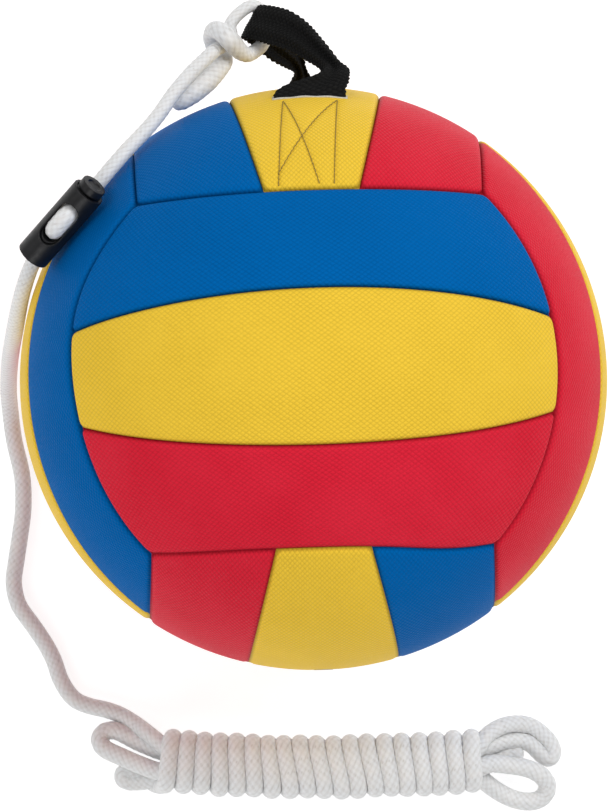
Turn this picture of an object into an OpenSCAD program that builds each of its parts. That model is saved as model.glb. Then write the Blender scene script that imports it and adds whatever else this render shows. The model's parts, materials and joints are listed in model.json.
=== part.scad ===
// Tetherball set: a soft panelled ball on a braided rope, with a cord lock and the spare rope in a hank.
// The ball rests on the floor at the origin. +Y points to the strap loop, +Z points up.

/* [Ball] */
// Outside diameter of the ball
ball_d = 210; // [205:1:215]
// Thickness of the cover panels
cover_t = 1.8; // [1.4:0.1:2]
// Thickness of the foam behind the cover
foam_t = 4; // [4:0.1:4.4]
// Thickness of the fabric lining
lining_t = 0.7; // [0.5:0.1:0.9]
// Thickness of the bladder's wall
bladder_t = 1.5; // [1:0.1:2]
// Width of the groove between two panels
seam_gap = 0.5; // [0.3:0.1:1]

/* [Valve] */
// Radius of the needle hole
needle_r = 1.1; // [1:0.05:1.3]
// Depth of the needle hole
needle_depth = 12; // [8:1:13]
// Diameter of the rubber valve insert
insert_d = 7; // [6:0.5:8]

/* [Strap] */
// Width of the webbing
strap_w = 25.4; // [22:0.2:26]
// Thickness of the webbing
strap_t = 1.8; // [1.4:0.1:2]
// Angle from the ball's crown to each slit
slit_angle = 20; // [18:1:22]
// Angle from the crown to the far end of each sewn tail
tail_angle = 49; // [44:1:50]

/* [Cord lock] */
// Diameter of the barrel
barrel_d = 12; // [11.8:0.1:12.2]
// Length of the barrel
barrel_l = 32.8; // [32:0.2:34]
// Diameter of the plunger
plunger_d = 9.2; // [9:0.1:9.3]
// How far the plunger can be pressed
press_travel = 3; // [2:0.5:3]

/* [Rope] */
// Diameter of the rope
rope_d = 6.35; // [6:0.05:6.4]
// Diameter of the hank over its wraps
hank_d = 24.4; // [23.8:0.2:25]
// Length of the wrapped part of the hank
hank_l = 123; // [115:1:128]

/* [Hidden] */
BLUE = [0.02, 0.24, 0.52];
YELLOW = [0.87, 0.66, 0.16];
RED = [0.72, 0.07, 0.13];
BLACK = [0.06, 0.06, 0.07];
WHITE = [0.88, 0.88, 0.88];
RUBBER = [0.12, 0.12, 0.13];
FOAM = [0.80, 0.80, 0.78];
THREAD = [0.32, 0.27, 0.12];
STEEL = [0.65, 0.66, 0.68];

eps = 0.1;
ball_r = ball_d / 2;
cover_r = ball_r - cover_t;
foam_r = cover_r - eps;
lining_r = foam_r - foam_t;
bladder_r = lining_r - lining_t - eps;
bladder_in_r = bladder_r - bladder_t;
big = 3 * ball_r;

// A face meets its neighbour on a plane that leans by seam_lean and passes seam_d from the centre.
seam_lean = 4.15;
seam_d = ball_r * 0.535 * cos(seam_lean);
// Half the angle of a face's middle strip, seen from the centre
strip_half = 15;

// The webbing's centre line lies this far to the right of the crown.
strap_x = 1.5;
slit_l = strap_w + 1.2;
slit_w = strap_t + 0.8;
tail_out_r = sqrt(pow(cover_r - 0.2, 2) - pow(strap_w / 2, 2));
patch_t = 0.9;
patch_w = strap_w + 8;
pocket_w = patch_w + 1;

// The webbing outside the ball: x, y, z, width and the turn of its width about Z
strap_route = [
    [1.5, 99.9, 141.4, 25.4, 0],
    [1.5, 103.2, 139.4, 25.4, 0],
    [4.5, 105.8, 136.4, 19, 4],
    [8.5, 108.6, 133, 13, 20],
    [8.4, 113, 128.4, 9, 44],
    [3.6, 117.6, 123.6, 11.5, 52],
    [-2.1, 122.4, 118.2, 15, 52],
    [-8.7, 126.6, 113.6, 15, 58],
    [-14, 128.2, 110.6, 11, 60],
    [-18, 128.4, 107.2, 7.5, 60],
    [-19.4, 128.2, 103.5, 6, 60],
    [-18, 127.4, 99.8, 7.5, 60],
    [-14, 126, 96.8, 11, 60],
    [-7.6, 122.1, 94, 11, 56],
    [-2.4, 118.2, 90, 8.5, 46],
    [-1, 114.4, 86, 7, 30],
    [-0.6, 110.6, 80.4, 10, 14],
    [0.8, 106.5, 74.5, 18, 6],
    [1.5, 103.2, 71, 23, 3],
    [1.5, 99.9, 68.6, 25.4, 0],
];

// Cord lock: the middle of the barrel, then its turn about Z and its lift above the floor's plane
lock_at = [-86.6, 57.1, 146.8];
lock_turn = 45;
lock_lift = 26.5;
barrel_x0 = -18;
bore_d = plunger_d + 0.4;
bore_x0 = barrel_x0 + 1.5;
window_l = 18;
window_w = 7.5;
slot_w = 7.2;
stem_x0 = -10;
head_l = 3.4;
spring_wire_d = 0.7;
spring_coils = 4;

rope_r = rope_d / 2;
// Bight: the distance between its legs, the middle between them and the height of its top
bight_gap = 10.5;
bight_x = 0.5;
bight_top = 3.6;
// The plunger's slot clears both legs with the plunger out and with it pressed in.
leg_clearance = 0.35;
slot_x0 = bight_x - bight_gap / 2 - rope_r - leg_clearance;
slot_l = bight_gap + 2 * rope_r + press_travel + 2 * leg_clearance;

// Rope: through the knot, round the noose in the strap's eye, the half hitch and the tail
knot_route = [
    [-34.8, 116.1, 117.6], [-31.7, 118.5, 115.5], [-28.6, 120.6, 111.4], [-26, 123, 108.8],
    [-25.1, 125.4, 107.8], [-25.6, 128.3, 107], [-23.4, 131.6, 106], [-19.4, 134.9, 104.6],
    [-16.8, 135.7, 103.4], [-14.5, 134.6, 103], [-12.8, 132, 103], [-12.2, 128.5, 103.2],
    [-12.7, 124.9, 103.6], [-14.2, 121.3, 104.2], [-16.9, 119, 105.8], [-19.6, 117.5, 108.5],
    [-22.3, 118.4, 112.5], [-24.7, 120.9, 116], [-26.8, 123, 117.8], [-29, 125.4, 116.5],
    [-31.2, 126.4, 112.5], [-32.3, 124.4, 107.5], [-31.2, 121.4, 103.2], [-28.9, 118.9, 102.7],
    [-28.1, 116.1, 106], [-29.8, 113, 110], [-33.2, 109.3, 114], [-36.8, 106, 117],
    [-40.8, 102.9, 119], [-47.1, 98.6, 121],
];
// Rope: from the knot over the ball's shoulder to the back of the lock
upper_route = [
    [-35.4, 115.7, 118], [-39.1, 112.5, 120.5], [-43.3, 106.9, 124], [-47.4, 101.4, 127.5],
    [-51.8, 95, 131], [-57, 88.8, 134.5], [-63.4, 82.2, 138.2], [-69.2, 75.7, 140.6],
    [-74.8, 69.4, 141.5], [-83.6, 60.1, 138.3],
];
// Rope: from the lock down the ball's side and across the floor to the hank
lower_route = [
    [-83.6, 60.1, 138.3], [-90, 53.7, 133.8], [-95, 48.5, 130], [-99, 43, 125], [-103, 34, 113],
    [-106.5, 24, 88], [-110, 14.5, 52], [-112, 5, 20], [-112, -4, 5], [-111, -14, 3.2],
    [-108.5, -27, 3.2], [-108.5, -39, 3.2], [-110, -49, 3.2], [-112, -60, 3.2], [-113, -67, 3.2],
    [-111.5, -75, 3.2], [-107, -82, 3.2], [-102.5, -89, 3.2], [-99, -96, 3.2], [-96.5, -104, 3.2],
    [-92, -111, 3.2], [-86, -114, 3.2], [-80, -115.5, 3.2], [-74, -118, 3.6], [-68, -122, 6.5],
    [-63, -126, 11.5],
];
// The rope is drawn thinner where the knot pulls it tight.
knot_squeeze = 0.82;
rope_sides = 10;

hank_at = [0, -138.7, hank_d / 2];
hank_turn = -2;
core_d = hank_d - 2 * rope_d - 0.2;
loops_x = hank_l / 2 + 0.2;

// ---- Curves and tubes -------------------------------------------------------------------------

function unit(v) = v / norm(v);

// A point on the smooth curve through four neighbouring points, between the middle two
function smooth(a, b, c, d, t) =
    0.5 * (2 * b + (c - a) * t + (2 * a - 5 * b + 4 * c - d) * t * t
        + (3 * b - a - 3 * c + d) * t * t * t);

// The smooth curve through a route, with steps points for each of its stretches
function curve(route, steps) =
    let (
        last = len(route) - 1,
        before = 2 * route[0] - route[1],
        after = 2 * route[last] - route[last - 1],
        all = concat([before], route, [after])
    )
    concat(
        [
            for (i = [0:last - 1], s = [0:steps - 1])
                smooth(all[i], all[i + 1], all[i + 2], all[i + 3], s / steps)
        ],
        [route[last]]
    );

function heading(path, i) = unit(path[min(i + 1, len(path) - 1)] - path[max(i - 1, 0)]);

// A side direction square to the new heading, and as near the old side as it can be
function carried(side, dir) = unit(side - (side * dir) * dir);

module skin(rings) {
    n = len(rings);
    m = len(rings[0]);
    points = [for (ring = rings, p = ring) p];
    walls = [
        for (i = [0:n - 2], j = [0:m - 1])
            let (k = (j + 1) % m)
            each [
                [i * m + j, i * m + k, (i + 1) * m + k],
                [i * m + j, (i + 1) * m + k, (i + 1) * m + j],
            ]
    ];
    start = [[for (j = [m - 1:-1:0]) j]];
    end = [[for (j = [0:m - 1]) (n - 1) * m + j]];
    polyhedron(points, concat(walls, start, end), convexity = 10);
}

// A round tube along a path
module tube(path, r, sides) {
    last = len(path) - 1;
    first = unit(cross(heading(path, 0), [0.3, 0.2, 1]));
    frames = [
        for (i = 0, side = first; i <= last; i = i + 1, side = carried(side, heading(path, min(i, last))))
            side
    ];
    skin([
        for (i = [0:last])
            let (
                dir = heading(path, i),
                u = carried(frames[i], dir),
                v = cross(dir, u)
            )
            [for (j = [0:sides - 1]) path[i] + r * (cos(-360 * j / sides) * u + sin(-360 * j / sides) * v)]
    ]);
}

// ---- Ball -------------------------------------------------------------------------------------

module at_centre() {
    translate([0, 0, ball_r]) children();
}

module ball_shell(r_out, r_in) {
    difference() {
        sphere(r_out, $fn = 96);
        sphere(r_in, $fn = 96);
    }
}

// Everything on the far side of a plane that is square to Y
module beyond_y(d) {
    translate([-big / 2, d, -big / 2]) cube(big);
}

// Everything below a plane that is square to Z
module below_z(d) {
    translate([-big / 2, -big / 2, d - big]) cube(big);
}

// Turns the face that looks along +Z to look along another axis; strips turn with it.
module facing(face) {
    if (face == "front") children();
    if (face == "back") mirror([0, 0, 1]) children();
    if (face == "crown") rotate(a = 240, v = [1, 1, 1]) children();
    if (face == "base") mirror([0, 1, 0]) rotate(a = 240, v = [1, 1, 1]) children();
    if (face == "right") rotate(a = 120, v = [1, 1, 1]) children();
    if (face == "left") mirror([1, 0, 0]) rotate(a = 120, v = [1, 1, 1]) children();
}

// One strip of the face that looks along +Z. side is 1, 0 or -1 for the strip at +Y, middle or -Y.
module strip(r_out, r_in, side) {
    cut = seam_gap / 2;
    difference() {
        ball_shell(r_out, r_in);
        for (end = [0, 1])
            mirror([end, 0, 0]) rotate([0, -seam_lean, 0]) below_z(seam_d + cut);
        if (side == 0) {
            for (end = [0, 1])
                mirror([0, end, 0]) rotate([-strip_half, 0, 0]) beyond_y(-cut);
        } else {
            mirror([0, side < 0 ? 1 : 0, 0]) {
                rotate([-seam_lean, 0, 0]) beyond_y(seam_d - cut);
                rotate([180 - strip_half, 0, 0]) beyond_y(-cut);
            }
        }
    }
}

module panel(face, side) {
    at_centre() facing(face) strip(ball_r, cover_r, side);
}

module foam(face) {
    at_centre() facing(face)
        for (side = [-1, 0, 1]) strip(foam_r, lining_r + eps, side);
}

// A band round the X axis, between two angles from the crown towards the front
module band(r_out, r_in, width, from, to) {
    translate([strap_x, 0, 0]) rotate(a = 120, v = [1, 1, 1]) rotate([0, 0, from])
        rotate_extrude(angle = to - from, $fn = 96)
            translate([r_in, -width / 2]) square([r_out - r_in, width]);
}

// Places its children on both sides of the crown.
module both_slits() {
    for (end = [0, 1]) mirror([0, 0, end]) children();
}

module slit() {
    rotate([slit_angle, 0, 0]) translate([strap_x - slit_l / 2, cover_r - 8, -slit_w / 2])
        cube([slit_l, 20, slit_w]);
}

module panel_front_upper() { color(BLUE) panel("front", 1); }
module panel_front_centre() { color(YELLOW) panel("front", 0); }
module panel_front_lower() { color(RED) panel("front", -1); }
module panel_back_upper() { color(RED) panel("back", 1); }
module panel_back_centre() { color(YELLOW) panel("back", 0); }
module panel_back_lower() { color(BLUE) panel("back", -1); }
module panel_crown_left() { color(BLUE) panel("crown", -1); }
module panel_crown_right() { color(RED) panel("crown", 1); }
module panel_base_left() { color(RED) panel("base", -1); }
module panel_base_right() { color(BLUE) panel("base", 1); }
module panel_left_front() { color(BLUE) panel("left", 1); }
module panel_left_centre() { color(YELLOW) panel("left", 0); }
module panel_left_back() { color(RED) panel("left", -1); }
module panel_right_front() { color(RED) panel("right", 1); }
module panel_right_centre() { color(YELLOW) panel("right", 0); }
module panel_right_back() { color(BLUE) panel("right", -1); }

module panel_crown_centre() {
    color(YELLOW) difference() {
        panel("crown", 0);
        at_centre() both_slits() slit();
    }
}

module panel_base_centre() {
    color(YELLOW) difference() {
        panel("base", 0);
        at_centre() valve_rod(insert_d + 0.4, bladder_r, ball_r + 1);
    }
}

module foam_front() { color(FOAM) foam("front"); }
module foam_back() { color(FOAM) foam("back"); }
module foam_left() { color(FOAM) foam("left"); }
module foam_right() { color(FOAM) foam("right"); }

module foam_crown() {
    color(FOAM) difference() {
        foam("crown");
        at_centre() both_slits() {
            slit();
            band(ball_r, lining_r - 1, pocket_w, slit_angle - 2, tail_angle + 1);
        }
    }
}

module foam_base() {
    color(FOAM) difference() {
        foam("base");
        at_centre() valve_rod(insert_d + 0.4, bladder_r, ball_r + 1);
    }
}

module fabric_lining() {
    color(WHITE) at_centre() difference() {
        ball_shell(lining_r, lining_r - lining_t);
        valve_rod(insert_d + 0.4, bladder_in_r - 10, ball_r);
    }
}

// ---- Valve ------------------------------------------------------------------------------------

// A rod on the valve's axis, between two distances from the ball's centre
module valve_rod(d, from, to) {
    rotate([90, 0, 0]) translate([0, 0, from]) cylinder(h = to - from, d = d, $fn = 48);
}

// How deep the insert's face lies below the cover's surface
valve_recess = 1.6;
pocket_d = 18;
pocket_r0 = bladder_in_r - 9;
insert_r0 = pocket_r0 + 2;
insert_r1 = ball_r - valve_recess;

module bladder() {
    color(RUBBER) at_centre() difference() {
        ball_shell(bladder_r, bladder_in_r);
        valve_rod(pocket_d, pocket_r0, ball_r);
    }
}

module valve_pocket() {
    color(RUBBER) at_centre() difference() {
        intersection() {
            valve_rod(pocket_d, pocket_r0, ball_r);
            sphere(bladder_r, $fn = 96);
        }
        valve_rod(insert_d, insert_r0, ball_r);
    }
}

module valve_insert() {
    color(RUBBER) at_centre() difference() {
        valve_rod(insert_d, insert_r0, insert_r1);
        valve_rod(2 * needle_r, insert_r1 - needle_depth, insert_r1 + 1);
    }
}

// ---- Strap ------------------------------------------------------------------------------------

// The webbing outside the ball, as a flat bar swept along its route
module strap_loop() {
    place = [for (s = strap_route) [s[0], s[1], s[2]]];
    color(BLACK) skin([
        for (i = [0:len(strap_route) - 1])
            let (
                dir = heading(place, i),
                turn = strap_route[i][4],
                across = carried([cos(turn), sin(turn), 0], dir) * strap_route[i][3] / 2,
                out = cross(dir, unit(across)) * strap_t / 2
            )
            [
                place[i] - across - out,
                place[i] - across + out,
                place[i] + across + out,
                place[i] + across - out,
            ]
    ]);
}

// The sewn-in end of the webbing: a flat tail under the panel and a stub that fills the slit
module strap_tail() {
    band(tail_out_r, tail_out_r - strap_t, strap_w, slit_angle - 0.5, tail_angle);
    rotate([slit_angle, 0, 0])
        translate([strap_x - strap_w / 2, tail_out_r - strap_t, -strap_t / 2])
            cube([strap_w, ball_r - tail_out_r + strap_t, strap_t]);
}

module strap_tail_front() { color(BLACK) at_centre() strap_tail(); }
module strap_tail_back() { color(BLACK) at_centre() mirror([0, 0, 1]) strap_tail(); }

module strap_patches() {
    patch_out_r = tail_out_r - strap_t - eps;
    color(WHITE) at_centre() both_slits()
        band(patch_out_r, patch_out_r - patch_t, patch_w, slit_angle, tail_angle);
}

stitch_d = 0.8;
stitch_from = slit_angle + 2.5;
stitch_to = tail_angle - 1;
stitch_half_w = 9.6;
// Threads stop this far short of each corner of the box, in mm across and in degrees along.
corner_gap = 0.8;

// A thread laid on the cover between two points given as distance across and angle from the crown
module thread(x0, angle0, x1, angle1, level) {
    a = unit([x0, ball_r * cos(angle0), ball_r * sin(angle0)]);
    b = unit([x1, ball_r * cos(angle1), ball_r * sin(angle1)]);
    axis = unit(cross(a, b));
    tilt = acos(axis[2]);
    spin = atan2(axis[1], axis[0]);
    // The start of the thread, seen in the frame whose Z is the thread's axis
    flat_x = [cos(spin) * cos(tilt), sin(spin) * cos(tilt), -sin(tilt)];
    flat_y = [-sin(spin), cos(spin), 0];
    start = atan2(a * flat_y, a * flat_x);
    rotate([0, 0, spin]) rotate([0, tilt, 0]) rotate([0, 0, start])
        rotate_extrude(angle = acos(a * b), $fn = 96)
            translate([ball_r + (level + 0.5) * stitch_d + 0.02, 0]) circle(d = stitch_d, $fn = 16);
}

// A box with a cross; the second diagonal lies over the first.
module stitches() {
    l = strap_x - stitch_half_w;
    r = strap_x + stitch_half_w;
    thread(l, stitch_from + corner_gap, l, stitch_to - corner_gap, 0);
    thread(r, stitch_from + corner_gap, r, stitch_to - corner_gap, 0);
    thread(l + corner_gap, stitch_from, r - corner_gap, stitch_from, 0);
    thread(l + corner_gap, stitch_to, r - corner_gap, stitch_to, 0);
    thread(l + 2 * corner_gap, stitch_from + 2 * corner_gap,
        r - 2 * corner_gap, stitch_to - 2 * corner_gap, 0);
    thread(r - 2 * corner_gap, stitch_from + 2 * corner_gap,
        l + 2 * corner_gap, stitch_to - 2 * corner_gap, 1.1);
}

module strap_stitches_front() { color(THREAD) at_centre() stitches(); }
module strap_stitches_back() { color(THREAD) at_centre() mirror([0, 0, 1]) stitches(); }

// ---- Cord lock --------------------------------------------------------------------------------

// The lock's own frame: +X towards the plunger's head, +Z out of the window
module in_lock() {
    translate(lock_at) rotate([0, 0, lock_turn]) rotate([0, -lock_lift, 0]) children();
}

module rod_x(x0, length, d) {
    translate([x0, 0, 0]) rotate([0, 90, 0]) cylinder(h = length, d = d, $fn = 64);
}

// A hole with round ends, right across the lock
module cross_slot(x0, length, width) {
    for (x = [x0 + width / 2, x0 + length - width / 2])
        translate([x, 0, -barrel_d]) cylinder(h = 2 * barrel_d, d = width, $fn = 48);
    translate([x0 + width / 2, -width / 2, -barrel_d]) cube([length - width, width, 2 * barrel_d]);
}

module lock_barrel() {
    color(BLACK) in_lock() difference() {
        rod_x(barrel_x0, barrel_l, barrel_d);
        rod_x(bore_x0, barrel_l, bore_d);
        cross_slot(-window_l / 2, window_l, window_w);
    }
}

module lock_plunger() {
    head_x0 = barrel_x0 + barrel_l;
    color(BLACK) in_lock() difference() {
        union() {
            rod_x(stem_x0, head_x0 - 0.6 - stem_x0, plunger_d);
            rod_x(head_x0 - 1, 2, plunger_d - 1.6);
            rod_x(head_x0 + 0.4, head_l - 0.4, plunger_d);
        }
        cross_slot(slot_x0, slot_l, slot_w);
        rod_x(head_x0 + head_l - 0.7, 2, 4.6);
    }
}

module lock_spring() {
    turns = spring_coils * 360;
    free_l = stem_x0 - bore_x0 - spring_wire_d - 0.2;
    mean_r = (bore_d - 2) / 2 - spring_wire_d / 2;
    helix = [
        for (a = [0:30:turns])
            [bore_x0 + spring_wire_d / 2 + 0.1 + free_l * a / turns, mean_r * cos(a), mean_r * sin(a)]
    ];
    color(STEEL) in_lock() tube(helix, spring_wire_d / 2, 6);
}

// ---- Rope -------------------------------------------------------------------------------------

module rope_knot() { color(WHITE) tube(curve(knot_route, 1), rope_r * knot_squeeze, rope_sides); }
module rope_upper_run() { color(WHITE) tube(curve(upper_route, 1), rope_r, rope_sides); }
module rope_lower_run() { color(WHITE) tube(curve(lower_route, 1), rope_r, rope_sides); }

// The loop of rope that is poked through the window from behind
module rope_bight() {
    back = -(barrel_d / 2 - 0.1);
    bend = bight_gap / 2;
    turn_z = bight_top - bend;
    arc = [for (a = [180:-22.5:0]) [bight_x + bend * cos(a), 0, turn_z + bend * sin(a)]];
    path = concat([[bight_x - bend, 0, back]], arc, [[bight_x + bend, 0, back]]);
    color(WHITE) in_lock() tube(path, rope_r, rope_sides);
}

module in_hank() {
    translate(hank_at) rotate([0, 0, hank_turn]) children();
}

module hank_wraps() {
    color(WHITE) in_hank() difference() {
        rod_x(-hank_l / 2, hank_l, hank_d);
        rod_x(-hank_l / 2 - 1, hank_l + 2, core_d);
    }
}

module hank_core() {
    color(WHITE) in_hank() rod_x(-hank_l / 2, hank_l, core_d - 0.1);
}

// A flat loop of rope with a round end. It leaves the wraps at mouth and ends at tip, both X and Y.
module end_loop(mouth, tip, width, height) {
    along = tip - mouth;
    reach = norm(along);
    translate([mouth[0], mouth[1], -hank_d / 2 + eps]) rotate([0, 0, atan2(along[1], along[0])]) {
        translate([0, -width / 2, 0]) cube([reach, width, height]);
        translate([reach, 0, 0]) cylinder(h = height, d = width, $fn = 48);
    }
}

// Cuts off whatever of its children lies nearer the hank's middle than the wraps' ends.
module outside_wraps() {
    difference() {
        children();
        translate([-loops_x, -hank_l / 2, -hank_l / 2]) cube([2 * loops_x, hank_l, hank_l]);
    }
}

module hank_loops_left() {
    color(WHITE) in_hank() outside_wraps() {
        end_loop([5 - loops_x, 4], [-77, 6], 15, 14);
        end_loop([5 - loops_x, -4], [-72, -5], 12, 12);
    }
}

module hank_loops_right() {
    color(WHITE) in_hank() outside_wraps() {
        end_loop([loops_x - 5, 5], [80, 5], 18, 14);
        end_loop([loops_x - 5, -5], [77, -10], 18, 12);
    }
}

panel_front_upper();
panel_front_centre();
panel_front_lower();
panel_back_upper();
panel_back_centre();
panel_back_lower();
panel_crown_left();
panel_crown_centre();
panel_crown_right();
panel_base_left();
panel_base_centre();
panel_base_right();
panel_left_front();
panel_left_centre();
panel_left_back();
panel_right_front();
panel_right_centre();
panel_right_back();
foam_front();
foam_back();
foam_crown();
foam_base();
foam_left();
foam_right();
fabric_lining();
bladder();
valve_pocket();
valve_insert();
strap_loop();
strap_tail_front();
strap_tail_back();
strap_patches();
strap_stitches_front();
strap_stitches_back();
rope_knot();
rope_upper_run();
rope_lower_run();
rope_bight();
hank_wraps();
hank_core();
hank_loops_left();
hank_loops_right();
lock_barrel();
lock_plunger();
lock_spring();
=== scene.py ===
"""Looks of the tetherball set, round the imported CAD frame: metres, +Z up, the ball at rest on the origin."""

import json
import math

import bmesh
import bpy
import numpy as np
from mathutils import Euler, Matrix, Vector


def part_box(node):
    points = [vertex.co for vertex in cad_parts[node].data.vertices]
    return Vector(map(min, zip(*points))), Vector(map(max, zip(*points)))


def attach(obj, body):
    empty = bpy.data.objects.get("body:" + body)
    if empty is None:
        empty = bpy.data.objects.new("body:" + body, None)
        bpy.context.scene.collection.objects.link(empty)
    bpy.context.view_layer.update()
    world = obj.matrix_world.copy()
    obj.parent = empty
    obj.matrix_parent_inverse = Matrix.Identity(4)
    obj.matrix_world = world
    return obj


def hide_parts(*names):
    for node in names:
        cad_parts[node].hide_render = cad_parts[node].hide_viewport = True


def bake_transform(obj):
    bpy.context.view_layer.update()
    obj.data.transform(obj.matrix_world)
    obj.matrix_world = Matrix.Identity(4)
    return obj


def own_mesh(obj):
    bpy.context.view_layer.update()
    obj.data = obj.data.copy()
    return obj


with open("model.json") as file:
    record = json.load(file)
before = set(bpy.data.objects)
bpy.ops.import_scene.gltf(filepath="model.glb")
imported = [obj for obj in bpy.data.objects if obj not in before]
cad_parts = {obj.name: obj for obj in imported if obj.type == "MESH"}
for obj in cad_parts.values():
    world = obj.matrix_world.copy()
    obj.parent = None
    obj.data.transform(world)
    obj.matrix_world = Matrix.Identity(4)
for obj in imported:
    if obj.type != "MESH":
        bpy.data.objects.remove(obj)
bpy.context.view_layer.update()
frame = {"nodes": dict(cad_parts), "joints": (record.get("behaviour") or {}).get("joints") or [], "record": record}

MM = 0.001
random = np.random.default_rng(7)

# ---- Sizes taken from the frame ------------------------------------------------------------------

BALL_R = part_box("panel_front_centre")[1][2] / 2
CENTRE = np.array([0.0, 0.0, BALL_R])
FOAM_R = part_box("foam_front")[1][2] - BALL_R
STRAP_LOW, STRAP_HIGH = (np.array(c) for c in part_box("strap_tail_front"))
STRAP_W = STRAP_HIGH[0] - STRAP_LOW[0]
STRAP_X = (STRAP_HIGH[0] + STRAP_LOW[0]) / 2
STRAP_T = 1.8 * MM
SLIT_ANGLE = math.radians(20)
TAIL_ANGLE = math.radians(49)
ROPE_D = 6.35 * MM
ROPE_R = ROPE_D / 2


# ---- Camera --------------------------------------------------------------------------------------


def make_camera():
    """Looks straight down on the set from about two metres, turned a little as the picture was."""
    turn = Euler((math.radians(2.67), math.radians(-0.96), math.radians(-1.99)))
    off_right, off_up, distance = -2.5 * MM, -9.0 * MM, 19.34 * BALL_R
    data = bpy.data.cameras.new("camera")
    data.lens = 251.5
    data.sensor_width = 36
    data.clip_end = 20
    camera = bpy.data.objects.new("camera", data)
    camera.rotation_euler = turn
    camera.location = Vector(CENTRE) + turn.to_matrix() @ Vector((off_right, off_up, distance))
    bpy.context.collection.objects.link(camera)
    bpy.context.scene.camera = camera


make_camera()

# ---- Meshes --------------------------------------------------------------------------------------


def build(name, points, faces, uv=None, uv_name="surface", values=None):
    """A smooth mesh object; uv has a pair per point, and values has a row of numbers per attribute."""
    mesh = bpy.data.meshes.new(name)
    mesh.from_pydata(np.asarray(points, dtype=float).tolist(), [], faces)
    if uv is not None:
        corner_points = np.empty(len(mesh.loops), dtype=np.int32)
        mesh.loops.foreach_get("vertex_index", corner_points)
        layer = mesh.uv_layers.new(name=uv_name)
        layer.data.foreach_set("uv", np.asarray(uv)[corner_points].astype(np.float32).ravel())
    for label, numbers in (values or {}).items():
        layer = mesh.attributes.new(label, "FLOAT", "POINT")
        layer.data.foreach_set("value", np.asarray(numbers, dtype=np.float32))
    mesh.shade_smooth()
    obj = bpy.data.objects.new(name, mesh)
    bpy.context.collection.objects.link(obj)
    return obj


def quads(rows, columns, wrap=False, start=0, flip=False):
    """Faces of a grid of points, rows by columns, numbered from start."""
    i, j = np.meshgrid(np.arange(rows - 1), np.arange(columns if wrap else columns - 1), indexing="ij")
    k = (j + 1) % columns
    faces = np.stack([i * columns + j, i * columns + k, (i + 1) * columns + k, (i + 1) * columns + j], -1)
    faces = faces.reshape(-1, 4) + start
    return (faces[:, ::-1] if flip else faces).tolist()


def smooth_route(route, steps=24):
    """Points on a smooth curve through a route, as in the CAD model's source."""
    route = np.asarray(route, dtype=float)
    ends = [2 * route[0] - route[1]], [2 * route[-1] - route[-2]]
    p = np.concatenate([ends[0], route, ends[1]])
    t = (np.arange(steps) / steps)[:, None]
    found = []
    for a, b, c, d in zip(p, p[1:], p[2:], p[3:]):
        square = 2 * a - 5 * b + 4 * c - d
        cube = 3 * b - a - 3 * c + d
        found.append(0.5 * (2 * b + (c - a) * t + square * t**2 + cube * t**3))
    return np.concatenate(found + [route[-1:]])


def even(path, spacing):
    """The same curve with points a fixed distance apart."""
    path = np.asarray(path)
    along = np.concatenate([[0], np.cumsum(np.linalg.norm(np.diff(path, axis=0), axis=1))])
    count = max(2, round(along[-1] / spacing) + 1)
    at = np.linspace(0, along[-1], count)
    return np.stack([np.interp(at, along, path[:, k]) for k in range(path.shape[1])], -1)


def length_of(path):
    return float(np.linalg.norm(np.diff(path, axis=0), axis=1).sum())


def relax(path, passes):
    """Rounds off small kinks and keeps the ends."""
    path = path.copy()
    for _ in range(passes):
        path[1:-1] = 0.25 * path[:-2] + 0.5 * path[1:-1] + 0.25 * path[2:]
    return path


def frames_along(path):
    """Heading and two square directions at each point, carried along without twist."""
    heading = np.gradient(path, axis=0)
    heading /= np.linalg.norm(heading, axis=1)[:, None]
    side = np.cross(heading[0], [0.3, 0.2, 1.0])
    sides = []
    for h in heading:
        side = side - side.dot(h) * h
        side /= np.linalg.norm(side)
        sides.append(side)
    sides = np.array(sides)
    return heading, sides, np.cross(heading, sides)


def tubes_mesh(name, paths, radius, sides=8):
    """Many short tubes in one mesh."""
    points, faces, uv = [], [], []
    angle = 2 * np.pi * np.arange(sides) / sides
    for path in paths:
        _, side, up = frames_along(path)
        ring = np.cos(angle)[None, :, None] * side[:, None] + np.sin(angle)[None, :, None] * up[:, None]
        start = len(points)
        rows = len(path)
        points.extend((path[:, None] + radius * ring).reshape(-1, 3))
        faces += quads(rows, sides, wrap=True, start=start)
        faces.append([start + j for j in range(sides)][::-1])
        faces.append([start + (rows - 1) * sides + j for j in range(sides)])
        for i in range(rows):
            uv += [(j / sides, i / rows) for j in range(sides)]
    return build(name, np.array(points), faces, np.array(uv), "thread")


# ---- Rope ----------------------------------------------------------------------------------------

BRAID_STRANDS = 8
BRAID_PITCH = 21 * MM
BRAID_RELIEF = 0.26 * MM
ROPE_SEGMENTS = 40
ROPE_SPACING = 0.6 * MM


def braid_height(around, along):
    """Height from 0 to 1 of a diamond braid: each strand passes over and under the ones that cross it."""
    a = BRAID_STRANDS * (around + along / BRAID_PITCH)
    b = BRAID_STRANDS * (around - along / BRAID_PITCH)
    over = (np.floor(a) + np.floor(b)) % 2 == 0
    across = np.where(over, a % 1, b % 1)
    lengthwise = np.where(over, b % 1, a % 1)
    crown = np.sqrt(np.clip(1 - (2 * across - 1) ** 2, 0, 1))
    return crown * (0.55 + 0.45 * np.sin(np.pi * lengthwise))


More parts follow.
